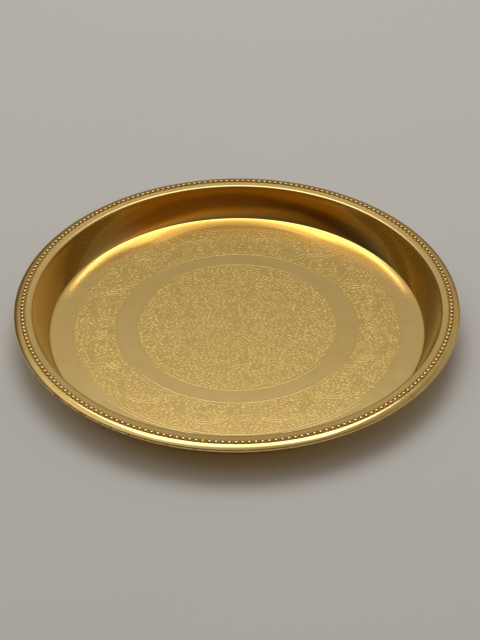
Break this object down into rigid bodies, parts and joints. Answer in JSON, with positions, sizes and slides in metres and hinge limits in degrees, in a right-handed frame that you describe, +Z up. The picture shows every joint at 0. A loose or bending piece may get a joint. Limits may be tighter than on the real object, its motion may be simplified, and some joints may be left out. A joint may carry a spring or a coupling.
{
  "type": "tray",
  "caption": "Round shallow brass serving tray with a leaning hollow wall, plain flange and beaded rolled rim, floor engraved with a medallion and a floral band.",
  "frame": {"origin": "centre of the underside of the floor, on the surface the tray stands on", "axes": "+Z up, the axis of the round tray; +X to the right and +Y away from a viewer at the front"},
  "size_m": [0.3, 0.3, 0.0248],
  "materials": {
    "dish_brass": "polished, satin where engraved",
    "border_brass": "polished",
    "wire_brass": "drawn wire"
  },
  "bodies": {
    "root": {"dish": "dish_brass", "beaded_border": "border_brass", "rim_wire": "wire_brass"}
  },
  "joints": []
}
